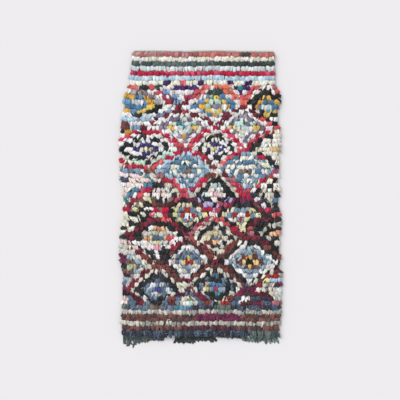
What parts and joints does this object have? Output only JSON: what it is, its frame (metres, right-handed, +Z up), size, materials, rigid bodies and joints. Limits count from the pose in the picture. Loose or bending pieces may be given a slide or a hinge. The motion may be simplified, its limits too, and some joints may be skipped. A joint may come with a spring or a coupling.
{
  "type": "boucherouite rug",
  "caption": "Shaggy rag rug lying flat: a knotted pile of cloth strips in a lattice of diamonds between striped ends, on a woven ground with a tattered lower end.",
  "frame": {"origin": "on the floor, under the middle of the rug's bounding box", "axes": "+X across the rug to the right as seen from above, +Y along its length towards the plain upper end, +Z up out of the pile"},
  "size_m": [1.1196, 2.0137, 0.0285],
  "materials": {
    "ground_weave": "plain-woven undyed cotton and wool, matt, grey-green at the upper heading",
    "rag_pile": "knotted strips of worn cotton and jersey in many colours, matt and soft",
    "dark_rag_web": "flat-woven dark rag weft, frayed, matt"
  },
  "bodies": {
    "root": {"ground_weave": "ground_weave", "pile": "rag_pile", "end_web_left": "dark_rag_web", "end_web_middle": "dark_rag_web", "end_web_wisps": "dark_rag_web", "end_web_right": "dark_rag_web"}
  },
  "joints": []
}
